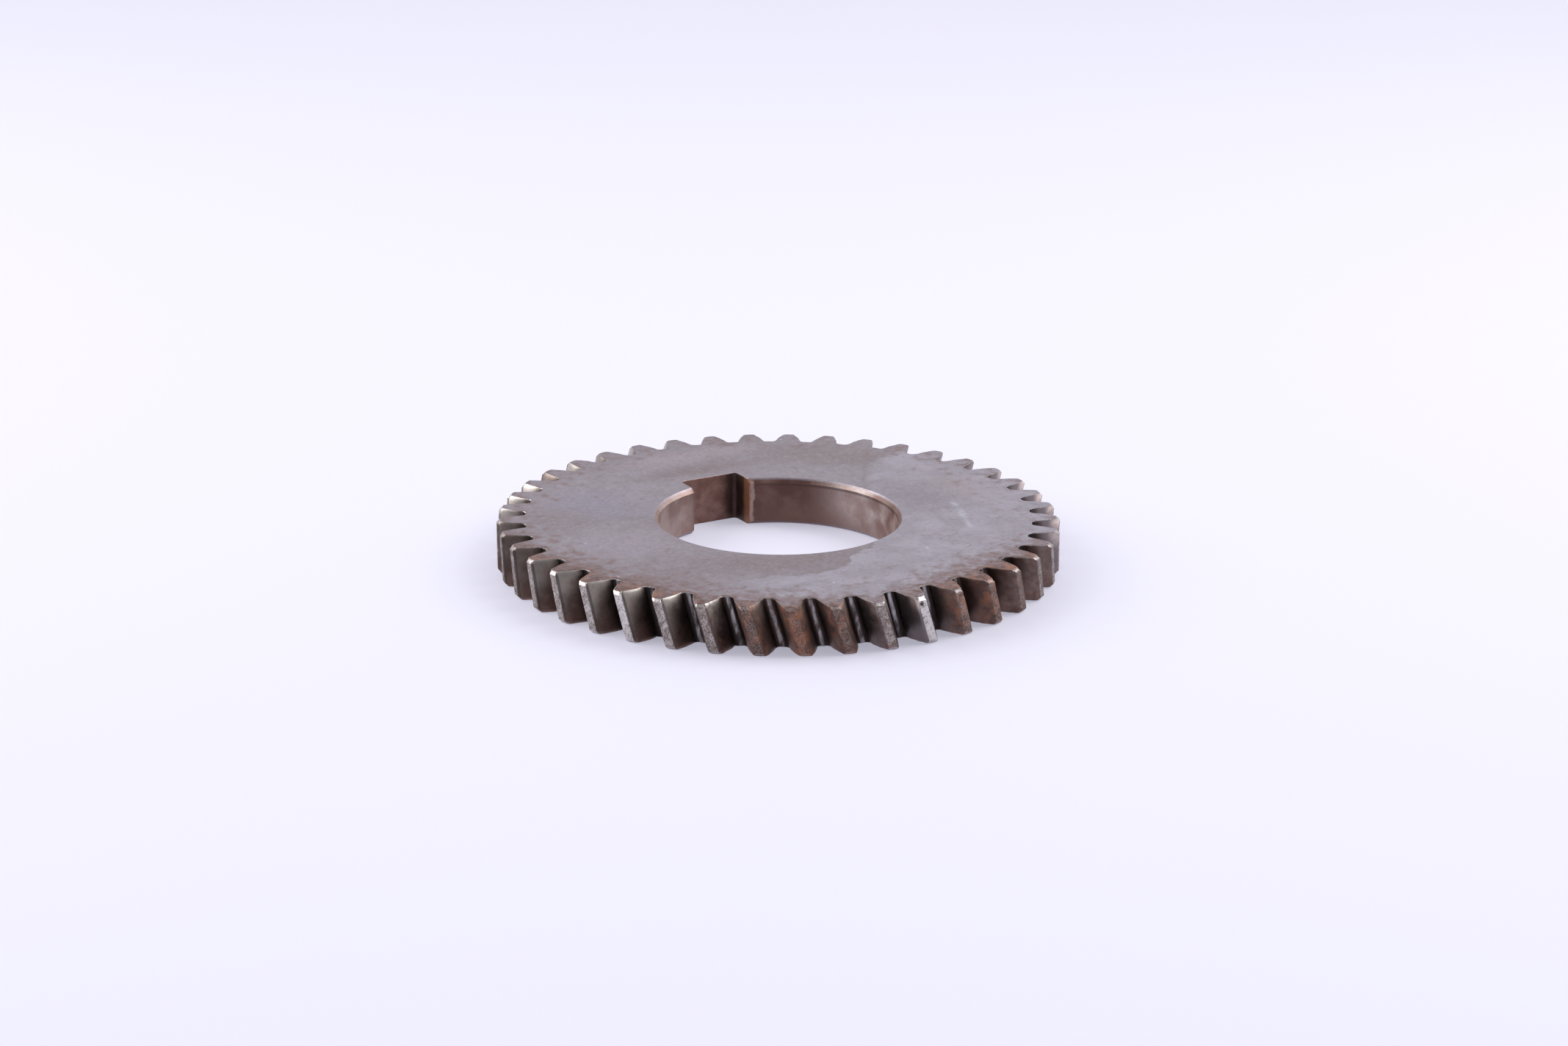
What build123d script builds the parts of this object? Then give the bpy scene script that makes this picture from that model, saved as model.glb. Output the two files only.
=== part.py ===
from build123d import *
from math import acos, atan, cos, degrees, pi, radians, sin, tan
import os

# A narrow helical gear, left hand, with a keyed bore.
# The origin is on the bore axis at mid-face, +Z runs along the axis, and the keyway is towards +Y.

# Teeth: standard full-depth proportions on the normal module.
tooth_count = 41
normal_module = 3.0
normal_pressure_angle = 20.0
helix_angle = 17.0
addendum_factor = 1.0
dedendum_factor = 1.25
root_fillet_factor = 0.3
flank_points = 7

# Blank.
face_width = 11.7
bore_diameter = 57.5
bore_chamfer = 1.0
blank_chamfer = 0.75

# Keyway, cut right through on the +Y side.
keyway_width = 15.5
keyway_floor_radius = 34.4
keyway_corner_radius = 1.0

# Worked-out tooth dimensions, in the plane square to the axis.
transverse_module = normal_module / cos(radians(helix_angle))
pitch_radius = tooth_count * transverse_module / 2
tip_radius = pitch_radius + addendum_factor * normal_module
root_radius = pitch_radius - dedendum_factor * normal_module
pressure_angle = atan(tan(radians(normal_pressure_angle)) / cos(radians(helix_angle)))
base_radius = pitch_radius * cos(pressure_angle)
root_fillet = root_fillet_factor * normal_module
tooth_pitch = 360 / tooth_count
half_face = face_width / 2

# A left-hand tooth turns clockwise, seen from above, on its way up.
twist = degrees(face_width * tan(radians(helix_angle)) / pitch_radius)

# The gap over the keyway is centred on it at mid-face.
gap_angle = 90.0


def involute(angle):
    """The involute function of an angle in radians."""
    return tan(angle) - angle


def half_tooth_angle(radius):
    """Half of the angle that a tooth fills at this radius, in degrees."""
    at_radius = acos(min(1.0, base_radius / radius))
    return degrees(pi / (2 * tooth_count) + involute(pressure_angle) - involute(at_radius))


def polar(radius, angle):
    """The point at this radius and this angle in degrees."""
    return (radius * cos(radians(angle)), radius * sin(radians(angle)))


def tooth_profile(centre):
    """One pitch of the outline: up one flank, over the tip, down the other flank and along the root."""
    flank_start = root_radius + root_fillet
    radii = [flank_start + (tip_radius - flank_start) * i / (flank_points - 1) for i in range(flank_points)]
    rising = [polar(r, centre - half_tooth_angle(r)) for r in radii]
    falling = [polar(r, centre + half_tooth_angle(r)) for r in reversed(radii)]
    flank_foot = half_tooth_angle(flank_start)
    root_start = flank_foot + degrees(root_fillet / root_radius)
    next_rising = polar(flank_start, centre + tooth_pitch - flank_foot)

    Spline(*rising)
    ThreePointArc(rising[-1], polar(tip_radius, centre), falling[0])
    Spline(*falling)
    root_in = polar(root_radius, centre + root_start)
    root_out = polar(root_radius, centre + tooth_pitch - root_start)
    fillet_bow = root_fillet * (1 - sin(pi / 4))
    bow_radius = root_radius + fillet_bow
    bow_angle = flank_foot + degrees(fillet_bow / root_radius)
    ThreePointArc(falling[-1], polar(bow_radius, centre + bow_angle), root_in)
    ThreePointArc(root_in, polar(root_radius, centre + tooth_pitch / 2), root_out)
    ThreePointArc(root_out, polar(bow_radius, centre + tooth_pitch - bow_angle), next_rising)


# The toothed outline on the lower face, and the twisted bar that it makes.
with BuildSketch(Plane.XY.offset(-half_face)) as outline:
    with BuildLine():
        for tooth in range(tooth_count):
            tooth_profile(gap_angle + twist / 2 + (tooth + 0.5) * tooth_pitch)
    make_face()

twisted_bar = Solid.extrude_linear_with_rotation(
    outline.sketch.face(), center=(0, 0, -half_face), normal=(0, 0, face_width), angle=-twist
)

with BuildPart() as helical_gear:
    add(twisted_bar)

    # The turned blank gives the bore, both bore chamfers and the chamfered rims.
    with BuildSketch(Plane.XZ):
        with Locations(((tip_radius + bore_diameter / 2) / 2, 0)):
            Rectangle(tip_radius - bore_diameter / 2, face_width)
        corners = vertices().group_by(Axis.X)
        chamfer(corners[0], bore_chamfer)
        chamfer(corners[-1], blank_chamfer)
    revolve(axis=Axis.Z, mode=Mode.INTERSECT)

    # The keyway is broached right through.
    with BuildSketch(Plane.XY.offset(-half_face)):
        with Locations((0, keyway_floor_radius / 2)):
            Rectangle(keyway_width, keyway_floor_radius)
        fillet(vertices().group_by(Axis.Y)[-1], keyway_corner_radius)
    extrude(amount=face_width, mode=Mode.SUBTRACT)

helical_gear.part.label = "helical_gear"

os.makedirs("parts", exist_ok=True)
export_step(helical_gear.part, "parts/helical_gear.step")

print(f"tip diameter {2 * tip_radius:.2f}, pitch diameter {2 * pitch_radius:.2f}, root {2 * root_radius:.2f}")
print(f"twist over the face {twist:.3f} degrees, volume {helical_gear.part.volume:.0f}")
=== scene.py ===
import math

import bpy
import numpy as np
from mathutils import Matrix, Vector, noise


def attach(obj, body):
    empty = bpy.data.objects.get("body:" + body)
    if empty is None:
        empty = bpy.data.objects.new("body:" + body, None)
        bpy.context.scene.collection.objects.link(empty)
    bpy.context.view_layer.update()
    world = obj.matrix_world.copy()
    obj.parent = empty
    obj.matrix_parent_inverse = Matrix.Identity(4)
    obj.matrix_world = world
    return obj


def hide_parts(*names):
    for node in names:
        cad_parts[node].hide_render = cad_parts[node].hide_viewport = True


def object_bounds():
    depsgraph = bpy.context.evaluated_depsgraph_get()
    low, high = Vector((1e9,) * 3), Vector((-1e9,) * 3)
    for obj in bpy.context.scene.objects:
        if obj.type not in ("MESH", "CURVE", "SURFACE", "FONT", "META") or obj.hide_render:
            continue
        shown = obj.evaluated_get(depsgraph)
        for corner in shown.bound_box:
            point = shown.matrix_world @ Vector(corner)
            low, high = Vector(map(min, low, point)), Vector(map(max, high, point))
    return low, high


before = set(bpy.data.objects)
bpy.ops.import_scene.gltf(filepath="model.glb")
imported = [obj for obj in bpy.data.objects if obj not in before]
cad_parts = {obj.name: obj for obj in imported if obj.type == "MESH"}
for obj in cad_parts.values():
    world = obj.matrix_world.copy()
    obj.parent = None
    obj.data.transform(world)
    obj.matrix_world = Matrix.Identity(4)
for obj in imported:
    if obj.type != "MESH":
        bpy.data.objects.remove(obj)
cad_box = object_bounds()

# A used left-hand helical gear, standing in for the CAD node of the same shape. Its mesh is worked out in
# millimetres in the CAD frame: the bore along Z, mid-face at zero, the keyway towards +Y.
MM = 0.001
BODY = "root"
NODE = "helical_gear"

# Driving dimensions, the same as the CAD model's.
TOOTH_COUNT = 41
NORMAL_MODULE = 3.0
PRESSURE_ANGLE = math.radians(20)
HELIX_ANGLE = math.radians(17)
ROOT_FILLET = 0.9
HALF_FACE = 11.7 / 2
BLANK_CHAMFER = 0.75
BORE_RADIUS = 57.5 / 2
BORE_CHAMFER = 1.0
KEYWAY_HALF_WIDTH = 15.5 / 2
KEYWAY_FLOOR = 34.4
KEYWAY_CORNER = 1.0
KEYWAY_ANGLE = math.pi / 2

ADDENDUM = NORMAL_MODULE
DEDENDUM = 1.25 * NORMAL_MODULE
PITCH_RADIUS = TOOTH_COUNT * NORMAL_MODULE / math.cos(HELIX_ANGLE) / 2
TIP_RADIUS = PITCH_RADIUS + ADDENDUM
ROOT_RADIUS = PITCH_RADIUS - DEDENDUM
TRANSVERSE_PRESSURE = math.atan(math.tan(PRESSURE_ANGLE) / math.cos(HELIX_ANGLE))
BASE_RADIUS = PITCH_RADIUS * math.cos(TRANSVERSE_PRESSURE)
TWIST_PER_MM = math.tan(HELIX_ANGLE) / PITCH_RADIUS
TOOTH_PITCH = 2 * math.pi / TOOTH_COUNT

# How finely the mesh is cut. The faces and the bore have half as many columns as the teeth.
ROOT_STEPS = 3
FILLET_STEPS = 4
FLANK_STEPS = 12
LAND_STEPS = 6
BORE_COLUMNS_PER_TOOTH = LAND_STEPS // 2 + FLANK_STEPS + FILLET_STEPS + ROOT_STEPS
FLANK_LAYERS = 18
BORE_LAYERS = 10
SHARP_ANGLE = math.radians(32)

# Columns of the bore, counted from the keyway's middle: its floor corner, its mouth, and where the wall's
# even spacing begins.
FLOOR_CORNER_COLUMN = 30
MOUTH_COLUMN = 44
EVEN_COLUMN = 100
# How much of the bore's wall, between its chamfers, its rings span.
BORE_RING_SPAN = 0.985

# Rings of a face: shares of the way from the bore to the ring where the columns double, and from just past it
# to the tooth edges.
INNER_RINGS = (0.02, 0.07, 0.16, 0.28, 0.42, 0.56, 0.7, 0.82, 0.92, 1.0)
RIM_RINGS = (0.0, 0.45, 0.8, 0.97)
INNER_END_RADIUS = ROOT_RADIUS - 2.6
RIM_START_RADIUS = ROOT_RADIUS - 1.3

# Small breaks of the edges. The tooth edges' breaks are rounded and ragged.
FLANK_EDGE_BREAK = 0.28
LAND_EDGE_BREAK = 0.1
EDGE_BULGE = 0.22
RAGGED_SIZE = 1.1
RAGGED_SHARE = 0.8
KEYWAY_EDGE_BREAK = 0.12
BORE_EDGE_BREAK = 0.05

# Wear of the flanks. The rising side of a tooth faces rising angles, and the falling side the other way. The
# tooth ends are rolled, mostly at the rising side's upper end, and on blunt teeth at the falling side's too.
TIP_RELIEF_DEPTH = 0.2
TIP_RELIEF_REACH = 0.55
END_RELIEF_DEPTH = 0.52
END_RELIEF_ONSET = 0.45
END_RELIEF_POWER = 2.6
END_RELIEF_AT_TIP = 0.4
UPPER_RISING_WEAR = 1.0
UPPER_FALLING_WEAR = 0.4
UPPER_BLUNT_WEAR = 1.1
LOWER_WEAR = 0.3
BLUNT_TEETH = range(26, 33)

# Pits and nicks.
LAND_PIT_DEPTH = 0.05
ROOT_PIT_DEPTH = 0.07
PIT_SIZE = 0.8
PIT_COVER = 0.15
NICK_COUNT = 44
DEEP_NICK = {"tooth": 20, "across": -0.2, "level": 4.2, "reach": 0.85, "depth": 0.4}

# How rubbed the edges are.
LAND_AND_ROOT_RUB = 1.0
RISING_RUB = 0.72
FALLING_RUB = 0.86
FACE_EDGE_RUB = 0.5
BORE_RUB = 0.2
BRIGHT_BORE_RUB = 0.4
# Bright stretches of the bore's chamfer: the middle and half-width of each, in degrees around the axis.
BRIGHT_CHAMFER = ((28, 36), (145, 45))
# How far the chamfer's outer edge looks like the bore, so that the bore's look ends within the chamfer.
CHAMFER_BORE_SHARE = 0.3

# Teeth that stand out, counted from the keyway with rising angle: how shiny they are, which also sets the
# painted highlights on their flanks, how rusty they are, and how rusty the face is at their feet.
SHINY_TEETH = {4: 0.5, 5: 0.7, 6: 0.7, 7: 0.2, 8: 0.1, 9: 0.15, 10: 0.3, 11: 0.45, 12: 0.6, 13: 0.95,
               14: 0.5, 15: 0.4, 16: 0.2, 17: 0.1, 18: 0.2, 19: 0.5, 20: 1.0, 21: 0.5, 22: 0.15, 23: 0.1,
               26: 0.6, 27: 0.7, 28: 0.75, 29: 0.75, 30: 0.7, 31: 0.5}
RUSTY_TEETH = {11: 0.2, 12: 0.25, 13: 0.25, 14: 0.4, 15: 0.5, 16: 0.8, 17: 0.95, 18: 0.8, 19: 0.5,
               20: 0.1, 21: 0.8, 22: 0.8, 23: 0.6, 24: 0.45}
RUSTY_FEET = {8: 0.45, 9: 0.6, 10: 0.7, 11: 0.8, 12: 0.83, 13: 0.83, 14: 0.83, 15: 0.75, 16: 0.68,
              17: 0.6, 18: 0.62, 19: 0.55, 20: 0.65, 21: 0.85, 22: 0.93, 23: 0.93, 24: 0.78, 25: 0.5}
# The feet's rust fades inwards: its share where the rim rings start and where the inner rings end, and how
# far out along the inner rings it begins.
RIM_START_RUST = 0.56
INNER_END_RUST = 0.5
INNER_RUST_START = 0.62

# The camera, aimed at the upper face from the photographer's place.
CAMERA_AZIMUTH = 239.65
CAMERA_ELEVATION = 18.155
CAMERA_ROLL = 0.478
CAMERA_DISTANCE = 930.6
CAMERA_LENS = 89.88
CAMERA_SENSOR = 36
AIM_RIGHT = 1.32
AIM_NEAR = 6.19
UP = Vector((0, 0, 1))


def smoothstep(low, high, value):
    """A smooth rise from 0 at low to 1 at high."""
    t = np.clip((np.asarray(value, float) - low) / (high - low), 0, 1)
    return t * t * (3 - 2 * t)


def noise_at(points, size, seed):
    """Smooth noise from about -1 to 1 at each point, with features about size millimetres across."""
    offset = Vector((seed, seed * 1.7, -seed))
    return np.array([noise.noise(Vector(point) / size + offset) for point in points])


# ---------------------------------------------------------------- outlines


def half_tooth_angle(radius):
    """Half of the angle that a tooth fills at this radius."""
    at_radius = np.arccos(np.clip(BASE_RADIUS / radius, 0, 1))
    involute = np.tan(at_radius) - at_radius
    at_pitch = math.tan(TRANSVERSE_PRESSURE) - TRANSVERSE_PRESSURE
    return math.pi / (2 * TOOTH_COUNT) + at_pitch - involute


def tooth_centre(tooth):
    """The angle of a tooth's middle at mid-face."""
    return KEYWAY_ANGLE + (tooth + 0.5) * TOOTH_PITCH


def tooth_half():
    """Half a tooth from the middle of its land to the middle of the root: angles, radii and zones."""
    foot = ROOT_RADIUS + ROOT_FILLET
    tip_angle = float(half_tooth_angle(TIP_RADIUS))
    foot_angle = float(half_tooth_angle(foot))
    land = np.linspace(0, tip_angle, LAND_STEPS // 2 + 1)
    down = np.linspace(0, 1, FLANK_STEPS + 1)[1:]
    down = 0.35 * down + 0.65 * down ** 1.6  # closer together near the tip
    flank_radius = TIP_RADIUS + (foot - TIP_RADIUS) * down
    turn = np.linspace(0, math.pi / 2, FILLET_STEPS + 1)[1:]
    fillet_radius = ROOT_RADIUS + ROOT_FILLET * (1 - np.sin(turn))
    fillet_angle = foot_angle + ROOT_FILLET * (1 - np.cos(turn)) / ROOT_RADIUS
    root = np.linspace(fillet_angle[-1], TOOTH_PITCH / 2, ROOT_STEPS + 1)[1:]
    angle = np.concatenate([land, half_tooth_angle(flank_radius), fillet_angle, root])
    radius = np.concatenate([np.full(len(land), TIP_RADIUS), flank_radius, fillet_radius,
                             np.full(ROOT_STEPS, ROOT_RADIUS)])
    zone = np.repeat(["tip", "flank", "root"], [len(land), FLANK_STEPS, FILLET_STEPS + ROOT_STEPS])
    relief = TIP_RELIEF_DEPTH * smoothstep(TIP_RADIUS - TIP_RELIEF_REACH, TIP_RADIUS, radius) / TIP_RADIUS
    angle = angle - relief * (angle / tip_angle).clip(0, 1)
    return angle, radius, zone


def mirrored(half):
    """A half tooth's values mirrored about the land's middle, without the second root's middle."""
    return np.concatenate([half[:0:-1], half[:-1]])


def rim_outline():
    """The toothed outline at mid-face, starting at the root over the keyway."""
    angle, radius, zone = tooth_half()
    mirror = np.repeat([-1, 1], len(angle) - 1)
    land_end = angle[LAND_STEPS // 2]
    floor_start = angle[-1 - ROOT_STEPS]
    one_tooth = {
        "turn": mirror * mirrored(angle),
        "radius": mirrored(radius),
        "zone": mirrored(zone),
        "side": mirror * mirrored(np.sign(angle)),
        "reflection_streak": mirrored((angle - floor_start) / (TOOTH_PITCH / 2 - floor_start)),
        "across": mirrored(angle / land_end).clip(0, 1),
    }
    rim = {name: np.tile(values, TOOTH_COUNT) for name, values in one_tooth.items()}
    rim["tooth"] = np.repeat(np.arange(TOOTH_COUNT), len(mirror))
    rim["angle"] = tooth_centre(rim["tooth"]) + rim.pop("turn")
    return rim


def tooth_values(chosen, low, high, seed):
    """A value for each tooth: seeded between low and high, or as chosen for it."""
    values = np.random.default_rng(seed).uniform(low, high, TOOTH_COUNT)
    for tooth, value in chosen.items():
        values[tooth] = value
    return values


def between_teeth(angle, values):
    """The teeth's values at each angle, changing evenly from one tooth's middle to the next one's."""
    centres = tooth_centre(np.arange(-1, TOOTH_COUNT + 1))
    return np.interp(angle, centres, np.concatenate([values[-1:], values, values[:1]]))


def bore_outline():
    """The keyed bore's outline, with its points gathered at the keyway's walls."""
    columns = TOOTH_COUNT * BORE_COLUMNS_PER_TOOTH
    spacing = 2 * math.pi / columns
    floor_corner = math.atan2(KEYWAY_HALF_WIDTH, KEYWAY_FLOOR)
    mouth = math.asin(KEYWAY_HALF_WIDTH / BORE_RADIUS)
    even = spacing * np.array([0, FLOOR_CORNER_COLUMN, MOUTH_COLUMN, EVEN_COLUMN, columns / 2])
    wanted = np.array([0, floor_corner, mouth, spacing * EVEN_COLUMN, math.pi])
    turned = (np.arange(columns) * spacing + math.pi) % (2 * math.pi) - math.pi
    angle = np.sign(turned) * np.interp(np.abs(turned), even, wanted)
    off = np.abs(angle)
    wall = KEYWAY_HALF_WIDTH / np.maximum(np.sin(off), 1e-9)
    in_key = off < mouth + 1e-9
    radius = np.where(in_key, np.minimum(KEYWAY_FLOOR / np.cos(off), wall), BORE_RADIUS)
    radius = round_keyway_corner(off, radius, in_key)
    return {"angle": KEYWAY_ANGLE + angle, "radius": radius, "in_key": in_key}


def round_keyway_corner(off, radius, in_key):
    """The radii with the corners between the keyway's floor and walls rounded."""
    centre = np.array([KEYWAY_HALF_WIDTH - KEYWAY_CORNER, KEYWAY_FLOOR - KEYWAY_CORNER])
    ray = np.stack([np.sin(off), np.cos(off)], 1)
    point = ray * radius[:, None]
    along = ray @ centre
    arc = along + np.sqrt(np.maximum(KEYWAY_CORNER ** 2 - (centre @ centre - along ** 2), 0))
    in_corner = in_key & (point[:, 0] > centre[0]) & (point[:, 1] > centre[1])
    return np.where(in_corner, np.minimum(radius, arc), radius)


def on_plane(angle, radius):
    """Points of a flat outline."""
    return np.stack([radius * np.cos(angle), radius * np.sin(angle)], 1)


def place_nicks():
    """Small dents along the tooth tips: the centre, reach and depth of each."""
    random = np.random.default_rng(27)
    chosen = [DEEP_NICK]
    for _ in range(NICK_COUNT):
        chosen.append({"tooth": random.integers(TOOTH_COUNT), "across": random.choice((-1, 1)),
                       "level": random.uniform(-HALF_FACE, HALF_FACE), "reach": random.uniform(0.4, 0.9),
                       "depth": random.uniform(0.08, 0.25)})
    nicks = []
    for nick in chosen:
        angle = tooth_centre(nick["tooth"]) + nick["across"] * float(half_tooth_angle(TIP_RADIUS))
        centre = helix(on_plane(np.array([angle]), TIP_RADIUS), nick["level"])[0]
        nicks.append((centre, nick["reach"], nick["depth"]))
    return nicks


def mitred_normals(points):
    """Outward normals of a closed outline, stretched at corners so that an offset keeps its width."""
    sharpest = 0.35
    ahead = np.roll(points, -1, 0) - points
    ahead /= np.linalg.norm(ahead, axis=1)[:, None]
    normal = np.stack([ahead[:, 1], -ahead[:, 0]], 1)
    before = np.roll(normal, 1, 0)
    return (normal + before) / np.maximum(1 + (normal * before).sum(1), sharpest)[:, None]


# ---------------------------------------------------------------- mesh


class Skin:
    """A closed surface built ring by ring, with a weight for each named zone at every vertex."""

    ZONES = ("tip", "flank", "root", "bore", "keyway", "edge", "height", "shine", "rust", "reflection_streak", "nick")

    def __init__(self):
        self.points = []
        self.weights = {zone: [] for zone in self.ZONES}
        self.faces = []
        self.count = 0

    def ring(self, points, **weights):
        """Adds a ring of points and returns its vertex numbers."""
        self.points.append(points)
        for zone in self.ZONES:
            weight = np.asarray(weights.get(zone, 0.0), float)
            self.weights[zone].append(np.broadcast_to(weight, len(points)))
        first = self.count
        self.count += len(points)
        return np.arange(first, self.count)

    def bands(self, rings):
        """Quads from each ring to the next one, which has as many points."""
        for a, b in zip(rings[:-1], rings[1:]):
            self.faces += np.stack([a, b, np.roll(b, -1), np.roll(a, -1)], 1).tolist()

    def halving_band(self, fine, coarse, upward):
        """Triangles between an outer ring and an inner one with half as many points."""
        first, middle, last = fine[0::2], fine[1::2], np.roll(fine, -2)[0::2]
        near, far = coarse, np.roll(coarse, -1)
        for three in ((near, first, middle), (near, middle, far), (far, middle, last)):
            self.faces += np.stack(three if upward else three[::-1], 1).tolist()


def raise_to(flat, level):
    """Flat points at a level."""
    return np.c_[flat, np.broadcast_to(np.asarray(level, float), len(flat))]


def helix(flat, level):
    """Mid-face outline points carried along the left-hand helix to a level."""
    level = np.broadcast_to(np.asarray(level, float), len(flat))
    cos, sin = np.cos(TWIST_PER_MM * level), np.sin(TWIST_PER_MM * level)
    return np.stack([flat[:, 0] * cos + flat[:, 1] * sin, flat[:, 1] * cos - flat[:, 0] * sin, level], 1)


def polar_mix(inner, outer, share):
    """Points between two flat rings, mixed in angle and radius."""
    angle_in, angle_out = np.arctan2(inner[:, 1], inner[:, 0]), np.arctan2(outer[:, 1], outer[:, 0])
    gap = (angle_out - angle_in + math.pi) % (2 * math.pi) - math.pi
    radius = np.hypot(inner[:, 0], inner[:, 1]) * (1 - share) + np.hypot(outer[:, 0], outer[:, 1]) * share
    return on_plane(angle_in + gap * share, radius)


class GearSkin(Skin):
    """The whole surface of the gear, in millimetres. Sign is 1 for its upper end and -1 for its lower one."""

    def __init__(self):
        super().__init__()
        self.prepare_rim()
        self.prepare_bore()
        top_bore = self.bore_edge_ring(1, 0.0)
        bottom_bore = self.bore_edge_ring(-1, 0.0)
        top = self.face(1, top_bore)
        bottom = self.face(-1, bottom_bore)
        self.bands([top] + self.tooth_rings() + [bottom])
        self.bands([bottom_bore] + self.bore_rings() + [top_bore])

    def prepare_rim(self):
        """The toothed outline, its normals, zones and wear."""
        rim = rim_outline()
        self.rim = rim
        self.flat = on_plane(rim["angle"], rim["radius"])
        self.normal = mitred_normals(self.flat)
        self.radial = self.flat / rim["radius"][:, None]
        self.is_tip = rim["zone"] == "tip"
        self.is_flank = rim["zone"] == "flank"
        self.is_root = rim["zone"] == "root"
        self.height = (rim["radius"] - ROOT_RADIUS) / (TIP_RADIUS - ROOT_RADIUS)
        self.cone = np.maximum(0, rim["radius"] - (TIP_RADIUS - BLANK_CHAMFER))
        self.ragged = noise_at(raise_to(self.flat, 0), RAGGED_SIZE, seed=3.0)
        self.nicks = place_nicks()
        self.foot_rust = between_teeth(rim["angle"], tooth_values(RUSTY_FEET, 0.1, 0.45, seed=14))
        shine = tooth_values(SHINY_TEETH, 0.1, 0.35, seed=4)
        rust = tooth_values(RUSTY_TEETH, 0.05, 0.3, seed=9)
        rust = np.where(self.is_root, between_teeth(rim["angle"], rust), rust[rim["tooth"]])
        self.zones = {"tip": self.is_tip, "flank": self.is_flank * rim["side"], "root": self.is_root,
                      "height": self.height, "shine": shine[rim["tooth"]], "rust": rust,
                      "reflection_streak": rim["reflection_streak"]}

    def broken_edge(self, sign):
        """How far each column's edge is broken at one end of the teeth."""
        uneven = 1 + RAGGED_SHARE * sign * self.ragged
        return np.where(self.is_tip, LAND_EDGE_BREAK, FLANK_EDGE_BREAK) * uneven

    def edge_outline(self, sign, share):
        """The outline across the broken tooth edge: share 0 on the face, 1 on the tooth."""
        edge = self.broken_edge(sign)
        inset = (1 - share) * self.cone
        relief = self.end_relief(sign * (HALF_FACE - share * edge), inset)
        return self.flat - inset[:, None] * self.radial - (1 - share) * edge[:, None] * self.normal + relief

    def edge_ring(self, sign, share):
        """A ring across the broken tooth edge."""
        edge = self.broken_edge(sign)
        bulge = EDGE_BULGE * math.sin(math.pi * share)
        flat = self.edge_outline(sign, share) + bulge * edge[:, None] * self.normal
        level = sign * (HALF_FACE - share * (self.cone + edge) + bulge * edge)
        points = helix(flat, np.clip(level, -HALF_FACE, HALF_FACE))
        if share == 0:
            return self.ring(points, edge=FACE_EDGE_RUB, rust=self.foot_rust)
        flank_rub = np.where(self.rim["side"] > 0, RISING_RUB, FALLING_RUB)
        rubbed = np.where(self.is_flank, flank_rub, LAND_AND_ROOT_RUB)
        return self.tooth_ring(points, edge=rubbed if share < 1 else rubbed / 2)

    def tooth_ring(self, points, edge=0.0):
        """A ring on the teeth, dented by the nicks that it passes."""
        dent = np.zeros(len(points))
        for centre, reach, depth in self.nicks:
            away = ((points - centre) ** 2).sum(1) / reach ** 2
            dent = np.maximum(dent, depth * np.maximum(0, 1 - away))
        outward = points[:, :2] / np.linalg.norm(points[:, :2], axis=1)[:, None]
        dented = points - raise_to(dent[:, None] * outward, 0)
        return self.ring(dented, **self.zones, edge=edge, nick=dent / DEEP_NICK["depth"])

    def tooth_rings(self):
        """The rings of the teeth, from the upper broken edge down to the lower one."""
        upper = HALF_FACE - self.cone - self.broken_edge(1)
        lower = -(HALF_FACE - self.cone - self.broken_edge(-1))
        rings = [self.edge_ring(1, share) for share in (0.0, 0.5, 1.0)]
        for layer in range(1, FLANK_LAYERS):
            even = layer / FLANK_LAYERS
            eased = (1 - math.cos(math.pi * even)) / 2
            level = upper + (lower - upper) * (even + eased) / 2
            flat = self.flat + self.end_relief(level, 0.0) - self.pits(level)[:, None] * self.normal
            rings.append(self.tooth_ring(helix(flat, level)))
        return rings + [self.edge_ring(-1, share) for share in (1.0, 0.5, 0.0)]

    def end_relief(self, level, inset):
        """Sideways shifts that wear the flanks back towards the tooth ends, most at the tips."""
        end = level / HALF_FACE
        falling = np.where(np.isin(self.rim["tooth"], BLUNT_TEETH), UPPER_BLUNT_WEAR, UPPER_FALLING_WEAR)
        upper = np.where(self.rim["side"] > 0, UPPER_RISING_WEAR, falling)
        worn = np.where(end > 0, upper, LOWER_WEAR)
        near_end = END_RELIEF_AT_TIP * self.height.clip(0, 1) ** 2 + np.abs(end) ** END_RELIEF_POWER
        depth = END_RELIEF_DEPTH * worn * np.maximum(0, near_end - END_RELIEF_ONSET) ** 2
        on_flank = smoothstep(TIP_RADIUS, TIP_RADIUS - TIP_RELIEF_REACH, self.rim["radius"] - inset)
        on_land = self.rim["across"] * smoothstep(0, BLANK_CHAMFER, inset)
        share = self.is_tip * on_land + self.is_flank * on_flank
        sideways = np.stack([self.radial[:, 1], -self.radial[:, 0]], 1)
        return (depth * share * self.rim["side"])[:, None] * sideways

    def pits(self, level):
        """Pits in the lands and an uneven root floor."""
        points = helix(self.flat, level)
        depth = LAND_PIT_DEPTH * self.is_tip + ROOT_PIT_DEPTH * self.is_root
        pitted = depth > 0
        pit = PIT_COVER + noise_at(points[pitted], PIT_SIZE, seed=11.0)
        depth[pitted] *= np.maximum(0, pit)
        return depth

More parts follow.
